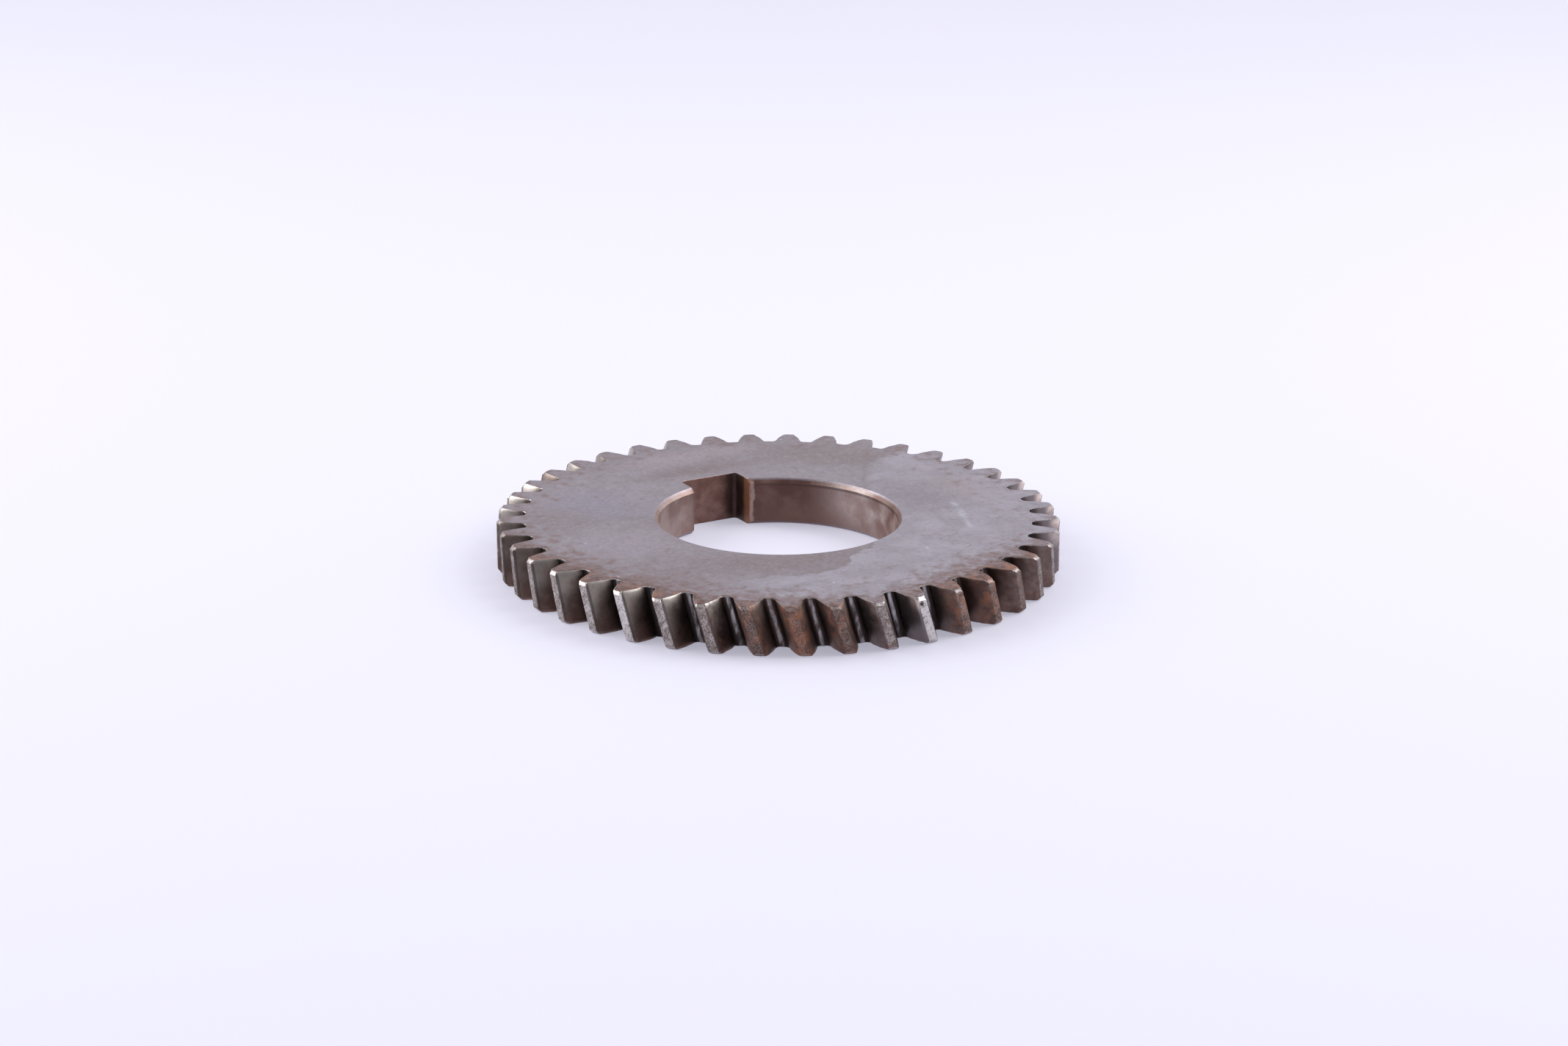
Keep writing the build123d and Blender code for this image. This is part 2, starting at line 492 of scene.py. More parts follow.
    def face(self, sign, bore_ring):
        """One flat face, from the bore's edge to the broken tooth edges. Returns its last ring."""
        level = sign * HALF_FACE
        angle = self.rim["angle"]
        inner_end = helix(on_plane(angle[::2], np.full(len(angle) // 2, INNER_END_RADIUS)), level)[:, :2]
        rim_start = helix(on_plane(angle, np.full(len(angle), RIM_START_RADIUS)), level)[:, :2]
        rim_end = helix(self.edge_outline(sign, 0.0), level)[:, :2]
        inner = []
        for share in INNER_RINGS:
            mixed = polar_mix(self.bore_edge_flat(0.0), inner_end, share)
            rust = INNER_END_RUST * smoothstep(INNER_RUST_START, 1.0, share)
            inner.append(self.ring(raise_to(mixed, level), rust=rust * self.foot_rust[::2]))
        outer = []
        for share in RIM_RINGS:
            mixed = rim_start * (1 - share) + rim_end * share
            rust = RIM_START_RUST + (1 - RIM_START_RUST) * share
            outer.append(self.ring(raise_to(mixed, level), rust=rust * self.foot_rust))
        self.bands(([bore_ring] + inner)[::sign])
        self.halving_band(outer[0], inner[-1], upward=sign > 0)
        self.bands(outer[::sign])
        return outer[-1]

    def prepare_bore(self):
        """The keyed bore's outline, its normals, chamfer and zones."""
        bore = bore_outline()
        self.bore_flat = on_plane(bore["angle"], bore["radius"])
        self.bore_normal = mitred_normals(self.bore_flat)
        self.bore_radial = self.bore_flat / bore["radius"][:, None]
        self.bore_cone = np.maximum(0, BORE_RADIUS + BORE_CHAMFER - bore["radius"])
        self.bore_edge = np.where(bore["in_key"], KEYWAY_EDGE_BREAK, BORE_EDGE_BREAK)
        self.bore_zones = {"bore": 1.0, "keyway": bore["in_key"]}
        self.bore_rub = np.full(len(self.bore_flat), BORE_RUB)
        for middle, reach in BRIGHT_CHAMFER:
            off = np.abs((np.degrees(bore["angle"]) - middle + 180) % 360 - 180)
            self.bore_rub += BRIGHT_BORE_RUB * smoothstep(reach, 0.4 * reach, off)

    def bore_edge_flat(self, share):
        """The outline across the bore's chamfer: share 0 on the face, 1 on the wall."""
        out = self.bore_cone[:, None] * self.bore_radial + self.bore_edge[:, None] * self.bore_normal
        return self.bore_flat + (1 - share) * out

    def bore_edge_ring(self, sign, share):
        """A ring at an edge of the bore's chamfer: share 0 at the face, 1 at the wall."""
        level = sign * (HALF_FACE - share * (self.bore_cone + self.bore_edge))
        zones = self.bore_zones if share == 1 else {"bore": CHAMFER_BORE_SHARE}
        return self.ring(raise_to(self.bore_edge_flat(share), level), edge=self.bore_rub, **zones)

    def bore_rings(self):
        """The rings of the bore's wall, from the lower chamfer up to the upper one."""
        reach = BORE_RING_SPAN * (HALF_FACE - self.bore_cone - self.bore_edge)
        rings = [self.bore_edge_ring(-1, 1.0)]
        for layer in range(BORE_LAYERS + 1):
            level = reach * (2 * layer / BORE_LAYERS - 1)
            rings.append(self.ring(raise_to(self.bore_flat, level), **self.bore_zones))
        return rings + [self.bore_edge_ring(1, 1.0)]


def build_mesh(skin):
    """The skin as a Blender mesh in metres, with its zone weights as attributes."""
    points = np.concatenate(skin.points)
    mesh = bpy.data.meshes.new("worn_gear")
    mesh.from_pydata((points * MM).tolist(), [], skin.faces)
    for zone in skin.ZONES:
        values = np.concatenate(skin.weights[zone]).astype(np.float32)
        mesh.attributes.new(zone, "FLOAT", "POINT").data.foreach_set("value", values)
    mesh.shade_smooth()
    mesh.set_sharp_from_angle(angle=SHARP_ANGLE)
    return mesh


# ---------------------------------------------------------------- material


class Graph:
    """Wires one material's nodes. Places are millimetres in the gear's frame."""

    def __init__(self, name):
        self.material = bpy.data.materials.new(name)
        self.material.use_nodes = True
        self.tree = self.material.node_tree
        self.shader = self.tree.nodes["Principled BSDF"]
        coordinates = self.node("ShaderNodeTexCoord").outputs["Object"]
        self.place = self.vector("SCALE", coordinates, Scale=1 / MM)
        self.x, self.y, self.z = self.node("ShaderNodeSeparateXYZ", Vector=self.place).outputs

    def node(self, kind, settings=None, **inputs):
        """A new node with its settings and its inputs, each an output of another node or a plain value."""
        made = self.tree.nodes.new(kind)
        for name, value in (settings or {}).items():
            setattr(made, name, value)
        for name, value in inputs.items():
            self.feed(made.inputs[name.replace("_", " ")], value)
        return made

    def feed(self, socket, value):
        """Links an input to an output, or sets it."""
        if isinstance(value, bpy.types.NodeSocket):
            self.tree.links.new(value, socket)
        elif socket.type == "RGBA":
            socket.default_value = (*value, 1)
        else:
            socket.default_value = value

    def vector(self, operation, first, second=None, **inputs):
        """Vector arithmetic."""
        made = self.node("ShaderNodeVectorMath", {"operation": operation}, **inputs)
        self.feed(made.inputs[0], first)
        if second is not None:
            self.feed(made.inputs[1], second)
        return made.outputs["Value" if operation == "LENGTH" else "Vector"]

    def math(self, operation, first, second=0.0):
        """Number arithmetic."""
        made = self.node("ShaderNodeMath", {"operation": operation})
        self.feed(made.inputs[0], first)
        self.feed(made.inputs[1], second)
        return made.outputs[0]

    def add(self, first, second):
        """The sum of two values."""
        return self.math("ADD", first, second)

    def multiply(self, first, *others):
        """The product of two or more values."""
        for other in others:
            first = self.math("MULTIPLY", first, other)
        return first

    def off(self, value, centre):
        """How far a value is from a centre."""
        return self.math("ABSOLUTE", self.math("SUBTRACT", value, centre))

    def step(self, value, low, high, to_low=0.0, to_high=1.0):
        """A smooth change from to_low at low to to_high at high."""
        made = self.node("ShaderNodeMapRange", {"interpolation_type": "SMOOTHSTEP"}, Value=value,
                         From_Min=low, From_Max=high, To_Min=to_low, To_Max=to_high)
        return made.outputs["Result"]

    def mix(self, share, first, second, kind="FLOAT"):
        """First at share 0, second at share 1."""
        made = self.node("ShaderNodeMix", {"data_type": kind})
        sockets = [socket for socket in made.inputs if socket.enabled]
        self.feed(sockets[0], share)
        self.feed(sockets[1], first)
        self.feed(sockets[2], second)
        return next(socket for socket in made.outputs if socket.enabled)

    def colour(self, share, first, second):
        """The first colour at share 0, the second at share 1."""
        return self.mix(share, first, second, "RGBA")

    def weight(self, zone):
        """The mesh's weight for a zone."""
        return self.node("ShaderNodeAttribute", {"attribute_name": zone}).outputs["Fac"]

    def inside(self, weight, outside=0.0, within=1.0):
        """A value that changes from outside to within where a zone's weight passes a half."""
        return self.step(weight, 0.3, 0.7, outside, within)

    def upper_half(self):
        """1 above mid-face, 0 below."""
        return self.step(self.z, 0.0, 1.0)

    def noise(self, place, size, seed, detail, roughness):
        """A noise texture with features about size millimetres across."""
        place = self.vector("ADD", place, (7 * seed, 0, 0))
        return self.node("ShaderNodeTexNoise", Vector=place, Scale=1 / size, Detail=detail,
                         Roughness=roughness)

    def grain(self, size, seed, detail=3.0, roughness=0.55, stretch=1.0):
        """Noise around 0.5 with features about size millimetres across, stretched along Z if asked."""
        place = self.vector("MULTIPLY", self.place, (1, 1, 1 / stretch))
        return self.noise(place, size, seed, detail, roughness).outputs["Fac"]

    def warped(self, size, amount, seed, detail=3.0):
        """The place pushed about by noise."""
        push = self.noise(self.place, size, seed, detail, 0.6).outputs["Color"]
        push = self.vector("SUBTRACT", push, (0.5, 0.5, 0.5))
        return self.vector("ADD", self.place, self.vector("SCALE", push, Scale=amount))

    def local(self, place, centre, turn, radii=(1, 1, 1)):
        """The place seen from a mark on the upper face: turned in degrees, and in units of its radii."""
        return self.node("ShaderNodeMapping", {"vector_type": "TEXTURE"}, Vector=place, Scale=radii,
                         Location=(*centre, HALF_FACE), Rotation=(0, 0, math.radians(turn))).outputs["Vector"]

    def spot(self, place, centre, radii, turn=0.0, soft=0.5, depth=3.0):
        """An elliptical mark, 1 inside and fading out over the soft share of its radius, down to a depth."""
        local = self.local(place, centre, turn, (*radii, depth))
        return self.step(self.vector("LENGTH", local), 1 + soft, 1 - soft)


class Look:
    """What a surface is like: colour, metal share, roughness and height in millimetres."""

    def __init__(self, colour, metal, rough, height):
        self.colour = colour
        self.metal = metal
        self.rough = rough
        self.height = height

    def under(self, g, share, other):
        """This look with another over it where share is 1."""
        return Look(g.colour(share, self.colour, other.colour), g.mix(share, self.metal, other.metal),
                    g.mix(share, self.rough, other.rough), g.mix(share, self.height, other.height))


METAL_DULL = (0.36, 0.33, 0.33)
METAL_BRIGHT = (0.70, 0.665, 0.67)


def bare_look(g):
    """Bright metal where the edges are rubbed."""
    fine = g.grain(0.35, 21.0)
    colour = g.colour(fine, METAL_DULL, METAL_BRIGHT)
    return Look(colour, 1.0, g.step(fine, 0.3, 0.8, 0.22, 0.42), g.multiply(fine, 0.03))


RUST_BROWN = (0.105, 0.052, 0.041)
RUST_ORANGE = (0.31, 0.13, 0.068)
RUST_SPECKLE = (0.43, 0.335, 0.295)
RUST_PIT = (0.05, 0.028, 0.022)


def rust_look(g):
    """Dry rust, orange where it is thick, reddish brown elsewhere and speckled on the lands."""
    coarse = g.grain(2.4, 31.0, detail=5.0)
    fine = g.grain(0.3, 32.0, detail=4.0)
    thick = g.step(g.add(g.multiply(g.weight("rust"), 0.3), coarse), 0.64, 0.9)
    colour = g.colour(thick, RUST_BROWN, RUST_ORANGE)
    speckle = g.multiply(g.step(fine, 0.46, 0.72), g.inside(g.weight("tip"), 0.12, 0.9))
    colour = g.colour(speckle, colour, RUST_SPECKLE)
    colour = g.colour(g.step(fine, 0.46, 0.3, 0.0, 0.8), colour, RUST_PIT)
    return Look(colour, 0.3, g.step(fine, 0.2, 0.8, 0.5, 0.8), g.multiply(fine, 0.06))


FACE_BROWN = (0.30, 0.25, 0.265)
FACE_GREY = (0.385, 0.34, 0.38)
FACE_PATCH = (0.365, 0.32, 0.355)
FACE_PALE_GRAIN = (0.52, 0.48, 0.51)
FACE_DARK_GRAIN = (0.20, 0.15, 0.155)
FOOT_STAIN = (0.25, 0.15, 0.13)

# Tinted patches of the upper face: centre, radii, turn, strength and colour.
FACE_TINTS = (
    ((-17, -30), (20, 8), -10, 0.8, (0.29, 0.224, 0.238)),
    ((36, 36), (17, 9), -42, 0.8, (0.285, 0.23, 0.235)),
    ((0, 41), (15, 4), 0, 0.8, (0.275, 0.215, 0.22)),
    ((4, 52), (16, 4), 0, 0.7, (0.44, 0.37, 0.40)),
    ((-35, 27), (9, 12), 20, 0.6, (0.35, 0.325, 0.405)),
    ((-47, -30), (10, 6), 35, 0.6, (0.30, 0.235, 0.25)),
    ((-42, 0), (12, 11), 0, 0.7, (0.42, 0.37, 0.42)),
    ((-46, 24), (6, 10), 20, 0.5, (0.32, 0.265, 0.285)),
)


def face_look(g):
    """The stained, mauve-grey flat faces."""
    soft = g.warped(9.0, 7.0, 41.0)
    broad = g.grain(26.0, 42.0, detail=2.0)
    patch = g.grain(5.0, 43.0, detail=5.0, roughness=0.65)
    fine = g.grain(0.9, 44.0, detail=5.0, roughness=0.7)
    colour = g.colour(g.step(broad, 0.35, 0.65), FACE_BROWN, FACE_GREY)
    colour = g.colour(g.step(patch, 0.38, 0.62), colour, FACE_PATCH)
    for centre, radii, turn, strength, tint in FACE_TINTS:
        share = g.multiply(g.spot(soft, centre, radii, turn, soft=0.7), strength)
        colour = g.colour(share, colour, tint)
    colour, washed = washed_area(g, colour)
    colour = g.colour(g.step(fine, 0.48, 0.75, 0.0, 0.5), colour, FACE_PALE_GRAIN)
    colour = g.colour(g.step(fine, 0.5, 0.25, 0.0, 0.5), colour, FACE_DARK_GRAIN)
    stain = g.step(g.add(g.multiply(g.weight("rust"), 0.55), g.grain(3.2, 46.0, detail=4.0)), 0.57, 0.85)
    colour = g.colour(g.multiply(stain, 0.65), colour, FOOT_STAIN)
    colour = face_marks(g, colour)
    rough = g.add(g.step(patch, 0.3, 0.7, 0.36, 0.5), g.multiply(washed, -0.05))
    height = g.add(g.multiply(fine, 0.012), g.multiply(g.grain(0.25, 45.0), 0.008))
    return Look(colour, 0.9, rough, height)


WASHED_BLUE = (0.395, 0.365, 0.415)
WASHED_PALE = (0.48, 0.45, 0.515)
WASHED_DULL = (0.34, 0.30, 0.345)
WASHED_RED = (0.42, 0.335, 0.34)
TIDE_LINE = (0.25, 0.21, 0.21)


def washed_area(g, colour):
    """A bluish, cleaner area of the upper face with a wavy tide line: the new colour, and its share."""
    ripple = g.multiply(g.math("SUBTRACT", g.grain(3.0, 51.0, detail=4.0), 0.5), 5.0)
    below = g.math("SUBTRACT", shore_line(g), g.add(g.y, ripple))
    here = g.multiply(g.step(g.x, -40.0, -24.0), g.upper_half())
    fade_width = g.step(g.x, 5.0, 35.0, 0.9, 6.0)
    washed = g.multiply(here, g.step(below, -0.2, fade_width))
    blue = g.colour(g.step(g.grain(7.0, 52.0), 0.35, 0.65), WASHED_BLUE, WASHED_PALE)
    dull = g.spot(g.warped(8.0, 6.0, 53.0), (37, -3), (9, 13), soft=0.6)
    blue = g.colour(dull, blue, WASHED_DULL)
    reddish = g.spot(g.warped(5.0, 6.0, 54.0), (50, -1), (6, 10), soft=0.7)
    blue = g.colour(g.multiply(reddish, 0.5), blue, WASHED_RED)
    colour = g.colour(g.multiply(washed, 0.85), colour, blue)
    line = g.multiply(g.step(g.math("ABSOLUTE", below), 0.8, 0.2), here)
    return g.colour(g.multiply(line, 0.35), colour, TIDE_LINE), washed


def shore_line(g):
    """The tide line's Y for each X, along the lower and right-hand sides of the stain."""
    points = ((-70, -48), (-36, -40), (-28, -37.5), (-14, -41), (-4, -38.5), (0, -34), (8, -30), (29, 8),
              (40, 25), (60, 38), (70, 42))
    span = 70.0
    made = g.node("ShaderNodeFloatCurve", Value=g.add(g.multiply(g.x, 0.5 / span), 0.5))
    curve = made.mapping.curves[0]
    for _ in range(len(points) - 2):
        curve.points.new(0.5, 0.5)
    for knot, (x, y) in zip(curve.points, points):
        knot.location = (0.5 + 0.5 * x / span, 0.5 + 0.5 * y / span)
    made.mapping.update()
    return g.multiply(g.math("SUBTRACT", made.outputs["Value"], 0.5), 2 * span)


SCUFF_WHITE = (0.72, 0.71, 0.80)
SCRATCH_DARK = (0.17, 0.145, 0.15)
FLECK_WHITE = (0.75, 0.72, 0.74)

# White scuffs of the upper face: centre, radii and turn.
SCUFFS = (
    ((39.2, -20), (0.9, 3.4), -22),
    ((36.5, -27), (0.7, 3.0), -22),
    ((41.5, -12.9), (0.7, 1.5), -10),
    ((18, -38), (0.35, 1.0), -20),
    ((-48.5, -1.2), (0.35, 0.5), -30),
)


def face_marks(g, colour):
    """White scuffs, a hairline and bright flecks."""
    shaky = g.warped(3.0, 1.5, 61.0)
    broken = g.step(g.grain(1.1, 62.0), 0.3, 0.65, 0.15, 1.0)
    for centre, radii, turn in SCUFFS:
        share = g.multiply(g.spot(shaky, centre, radii, turn, soft=0.9), broken, 0.6)
        colour = g.colour(share, colour, SCUFF_WHITE)
    line = wavy_scratch(g, (25.5, -38), 78, wave=11.0, swing=3.0, reach=10.5)
    colour = g.colour(g.multiply(line, 0.6), colour, SCRATCH_DARK)
    cells = g.node("ShaderNodeTexVoronoi", Vector=g.place, Scale=0.22, Randomness=1.0)
    tiny = g.step(cells.outputs["Distance"], 0.07, 0.04)
    rare = g.step(g.node("ShaderNodeSeparateColor", Color=cells.outputs["Color"]).outputs[0], 0.86, 0.88)
    return g.colour(g.multiply(tiny, rare), colour, FLECK_WHITE)


def wavy_scratch(g, centre, turn, wave, swing, reach):
    """A hairline that swings from side to side about a straight run across the upper face."""
    place = g.warped(9.0, 5.0, 64.0, detail=0.0)
    local = g.local(place, centre, turn)
    along, across = g.node("ShaderNodeSeparateXYZ", Vector=local).outputs[:2]
    phase = g.multiply(along, 2 * math.pi / wave)
    off = g.off(across, g.multiply(g.math("SINE", phase), swing))
    slope = g.multiply(g.math("COSINE", phase), swing * 2 * math.pi / wave)
    steep = g.math("SQRT", g.add(g.multiply(slope, slope), 1.0))
    line = g.step(g.math("DIVIDE", off, steep), 0.16, 0.04)
    ended = g.step(g.math("ABSOLUTE", along), reach, 0.85 * reach)
    return g.multiply(line, ended, g.upper_half())


FLANK_DARK = (0.145, 0.098, 0.083)
FLANK_BROWN = (0.205, 0.152, 0.135)
FLANK_RED = (0.25, 0.15, 0.12)
# Worn cleaner metal with a painted reflection, on the rising flanks' upper parts.
RISING_WORN_AND_LIT = (0.48, 0.435, 0.405)
FALLING_CLEAN = (0.245, 0.225, 0.235)
# A painted highlight on the rolled upper tips of the falling flanks.
FALLING_TIP_HIGHLIGHT = (0.88, 0.74, 0.65)
FLANK_GRIME = (0.14, 0.095, 0.075)
# Painted shade, with some grime, at the flanks' feet deep in the gaps.
FLANK_FOOT_SHADE = (0.05, 0.034, 0.028)
TIP_STRIP = (0.09, 0.072, 0.066)


def flank_look(g):
    """Smooth, dark, oxidised tooth flanks, redder low down, with painted shade towards the roots, and cleaner
    where they meshed or were rolled, with painted highlights near their upper tips.
    """
    broad = g.grain(3.0, 71.0, detail=4.0)
    fine = g.grain(0.5, 72.0, detail=4.0, stretch=3.0)
    colour = g.colour(g.step(broad, 0.35, 0.65), FLANK_DARK, FLANK_BROWN)
    low = g.multiply(g.step(g.z, 0.0, -5.0, 0.0, 0.6), g.step(broad, 0.3, 0.6))
    colour = g.colour(low, colour, FLANK_RED)
    colour = rising_flank(g, colour, broad)
    colour = falling_flank(g, colour, broad)
    colour = g.colour(g.step(fine, 0.5, 0.8, 0.0, 0.35), colour, FLANK_GRIME)
    # Painted shade, with some grime: the flanks darken towards the roots.
    colour = g.colour(g.step(g.weight("height"), 0.45, 0.05, 0.0, 0.8), colour, FLANK_FOOT_SHADE)
    strip = g.multiply(g.step(g.weight("height"), 0.89, 0.93), g.step(g.weight("flank"), 0.0, 0.5))
    colour = g.colour(g.multiply(strip, 0.65), colour, TIP_STRIP)
    return Look(colour, 0.92, g.step(broad, 0.3, 0.7, 0.3, 0.4), g.multiply(fine, 0.01))


def rising_flank(g, colour, broad):
    """The rising side, paler towards the upper tip, and more so on shiny teeth: worn cleaner metal with a
    painted reflection.
    """
    climb = g.add(g.multiply(g.weight("height"), 0.6), g.multiply(g.z, 0.5 / HALF_FACE))
    clean = g.step(g.add(climb, g.multiply(broad, 0.3)), 0.25, 1.05)
    clean = g.multiply(clean, g.step(g.weight("flank"), 0.0, 0.5))
    clean = g.multiply(clean, g.step(g.weight("shine"), 0.05, 0.45, 0.15, 1.0))
    return g.colour(clean, colour, RISING_WORN_AND_LIT)


def falling_flank(g, colour, broad):
    """The falling side of shiny teeth: cleaner all over, with a painted highlight at its rolled upper tip."""
    shiny = g.multiply(g.step(g.weight("flank"), 0.0, -0.5), g.step(g.weight("shine"), 0.25, 0.7))
    colour = g.colour(g.multiply(shiny, 0.6), colour, FALLING_CLEAN)
    tip_highlight = g.multiply(g.step(g.weight("height"), 0.55, 0.9), g.step(g.z, 1.0, 5.0), shiny)
    tip_highlight = g.multiply(tip_highlight, g.step(broad, 0.3, 0.6, 0.5, 1.0), 0.9)
    return g.colour(tip_highlight, colour, FALLING_TIP_HIGHLIGHT)


# The lands' clean and pitted metal, each for a brown tooth and a silver one.
LAND_CLEAN = ((0.24, 0.19, 0.165), (0.66, 0.62, 0.60))
LAND_PITTED = ((0.105, 0.068, 0.052), (0.20, 0.165, 0.15))


def tip_look(g):
    """Pitted tooth lands, silver on some teeth and brown on others."""
    pits = g.grain(0.3, 81.0, detail=4.0, roughness=0.65, stretch=1.6)
    stain = g.grain(1.8, 82.0, detail=3.0)
    bright = g.add(g.step(stain, 0.3, 0.7, -0.2, 0.2), g.weight("shine"))
    worn = g.step(g.add(pits, g.multiply(bright, 0.1)), 0.4, 0.62)
    colour = g.colour(worn, g.colour(bright, *LAND_PITTED), g.colour(bright, *LAND_CLEAN))
    return Look(colour, g.mix(worn, 0.6, 0.97), g.mix(worn, 0.55, 0.33), g.multiply(pits, 0.09))


# Painted shade deep in the roots, and a painted reflection along each gap's middle.
ROOT_SHADE = (0.03, 0.021, 0.019)
ROOT_REFLECTION = (0.46, 0.43, 0.44)


def root_look(g):
    """Root floors painted near black with shade, and a painted reflection along the middle of each gap: a
    cloudy metallic streak.
    """
    cloud = g.grain(0.9, 91.0, detail=3.0, stretch=3.0)
    middle = g.step(g.add(g.weight("reflection_streak"), g.multiply(cloud, 0.8)), 0.2, 1.1)
    blotch = g.grain(1.3, 92.0, detail=4.0, roughness=0.55, stretch=2.4)
    reflection_streak = g.multiply(middle, g.step(blotch, 0.34, 0.68, 0.12, 1.0))
    colour = g.colour(reflection_streak, ROOT_SHADE, ROOT_REFLECTION)
    return Look(colour, 0.9, g.mix(reflection_streak, 0.5, 0.36), g.multiply(cloud, 0.05))


# The bore's mottled colours, each a darker and a paler one.
BORE_DULL = ((0.11, 0.052, 0.044), (0.20, 0.118, 0.098))
BORE_CLEAN = ((0.37, 0.27, 0.24), (0.56, 0.47, 0.44))
BORE_WARM = ((0.21, 0.105, 0.075), (0.38, 0.27, 0.235))
BORE_PALE = ((0.31, 0.20, 0.17), (0.43, 0.33, 0.30))
KEYWAY_RED = ((0.215, 0.11, 0.085), (0.34, 0.21, 0.175))
# Painted shade low on the bore's +X wall.
BORE_LOW_SHADE = (0.21, 0.12, 0.095)
# A painted shadow line, and painted shade, under the bore's upper chamfer.
BORE_SHADOW_LINE = (0.065, 0.036, 0.03)
BORE_SHADE = (0.15, 0.08, 0.06)
BORE_GRIME = (0.10, 0.06, 0.045)
SHADOW_LINE_LEVEL = 4.4


def bore_look(g):
    """The brown bore wall and its redder keyway, with painted shade in the keyway's corner and fine grime all
    over.
    """
    patch = g.grain(5.0, 101.0, detail=4.0, roughness=0.5)
    fine = g.grain(0.6, 102.0, detail=4.0)
    colour = bore_wall(g, patch)
    red = g.colour(g.step(g.grain(2.6, 103.0, detail=4.0), 0.33, 0.67), *KEYWAY_RED)
    colour = g.colour(g.multiply(g.weight("keyway"), 0.8), colour, red)
    colour = keyway_marks(g, colour)
    colour = g.colour(g.step(fine, 0.55, 0.8, 0.0, 0.4), colour, BORE_GRIME)
    return Look(colour, 0.7, g.step(patch, 0.3, 0.7, 0.38, 0.55), g.multiply(fine, 0.03))


def bore_wall(g, patch):
    """The wall's colour: pale on the -X side; on the +X side clean, then warm, with painted shade low down,
    and a painted shadow line and painted shade under the upper chamfer.
    """
    mottle = g.step(patch, 0.34, 0.66)
    right = g.step(g.x, 4.0, 16.0)
    run = g.add(g.y, g.multiply(patch, 10.0))
    clean = g.multiply(g.step(run, 26.0, 15.0), right)
    colour = g.colour(clean, g.colour(mottle, *BORE_DULL), g.colour(mottle, *BORE_CLEAN))
    warm = g.multiply(g.step(run, 11.0, -2.0), right)
    colour = g.colour(warm, colour, g.colour(mottle, *BORE_WARM))
    colour = g.colour(g.step(g.x, -6.0, -10.0), colour, g.colour(mottle, *BORE_PALE))
    # Painted shade: the +X wall darker towards the bottom.
    low = g.multiply(g.step(g.z, 1.5, -4.5, 0.0, 0.6), right)
    colour = g.colour(low, colour, BORE_LOW_SHADE)
    # A painted shadow line under the upper chamfer, on the +X side.
    shadow_line = g.multiply(g.step(g.off(g.z, SHADOW_LINE_LEVEL), 0.5, 0.1), right, 0.55)
    colour = g.colour(shadow_line, colour, BORE_SHADOW_LINE)
    shaded = g.multiply(g.step(g.z, 4.2, 5.0), g.step(run, 14.0, 6.0), right, 0.7)
    return g.colour(shaded, colour, BORE_SHADE)


def keyway_marks(g, colour):
    """Painted shade in the keyway's +X corner, an orange patch on that wall near its mouth, and a painted
    highlight along the bore's edge beside it.
    """
    full_depth = 4 * HALF_FACE
    uneven = g.warped(3.0, 1.6, 104.0)
    wall = KEYWAY_HALF_WIDTH
    mouth = math.sqrt(BORE_RADIUS ** 2 - wall ** 2)
    marks = (
        # Painted corner shade, an orange patch, and a painted highlight on the bore's edge beside the mouth.
        ((wall - 0.3, KEYWAY_FLOOR - 1.2), (3.0, 3.8), 0.85, (0.04, 0.022, 0.018)),
        ((wall, mouth + 1.2), (1.2, 1.5), 0.85, (0.38, 0.17, 0.085)),
        ((wall + 0.7, mouth - 0.2), (0.5, 0.6), 0.6, (0.47, 0.38, 0.34)),
    )
    for centre, radii, strength, tint in marks:
        share = g.spot(uneven, centre, radii, soft=0.5, depth=full_depth)
        colour = g.colour(g.multiply(share, strength), colour, tint)
    return colour


NICK_DARK = (0.035, 0.028, 0.026)


def zone_looks(g):
    """The faces' look, with each other zone's look over it where that zone is."""
    look = face_look(g)
    look = look.under(g, g.inside(g.math("ABSOLUTE", g.weight("flank"))), flank_look(g))
    look = look.under(g, g.inside(g.weight("root")), root_look(g))
    look = look.under(g, g.inside(g.weight("tip")), tip_look(g))
    return look.under(g, g.inside(g.weight("bore")), bore_look(g))


def rust_share(g):
    """Where rust lies: in blotches, little in the roots and low on the flanks."""
    blotch = g.grain(1.9, 111.0, detail=6.0, roughness=0.72)
    rust = g.step(g.add(g.multiply(g.weight("rust"), 0.55), blotch), 0.66, 1.02)
    rust = g.multiply(rust, g.inside(g.weight("root"), 0.95, 0.15))
    flank = g.math("ABSOLUTE", g.weight("flank"))
    return g.multiply(rust, g.mix(flank, 1.0, g.step(g.weight("height"), 0.25, 0.9, 0.15, 1.0)))


def rubbed_share(g):
    """Where edges are rubbed bright: in chips, less on rusty teeth and more on shiny ones."""
    chipped = g.grain(0.7, 112.0, detail=3.0)
    rubbed = g.step(g.add(g.weight("edge"), g.multiply(chipped, 0.5)), 0.82, 1.05)
    rubbed = g.multiply(rubbed, g.step(g.weight("rust"), 1.0, 0.4, 0.35, 0.9))
    return g.multiply(rubbed, g.math("MINIMUM", g.add(g.weight("shine"), 0.45), 1.0))


def worn_steel():
    """The gear's one material: a look for each zone, then rust, rubbed edges and dark nicks over them."""
    g = Graph("worn_steel")
    look = zone_looks(g)
    look = look.under(g, rust_share(g), rust_look(g))
    look = look.under(g, rubbed_share(g), bare_look(g))
    nick = g.step(g.weight("nick"), 0.35, 0.8, 0.0, 0.9)
    g.feed(g.shader.inputs["Base Color"], g.colour(nick, look.colour, NICK_DARK))
    g.feed(g.shader.inputs["Metallic"], look.metal)
    g.feed(g.shader.inputs["Roughness"], look.rough)
    bump = g.node("ShaderNodeBump", Height=look.height, Distance=MM, Strength=0.8)
    g.feed(g.shader.inputs["Normal"], bump.outputs["Normal"])
    return g.material


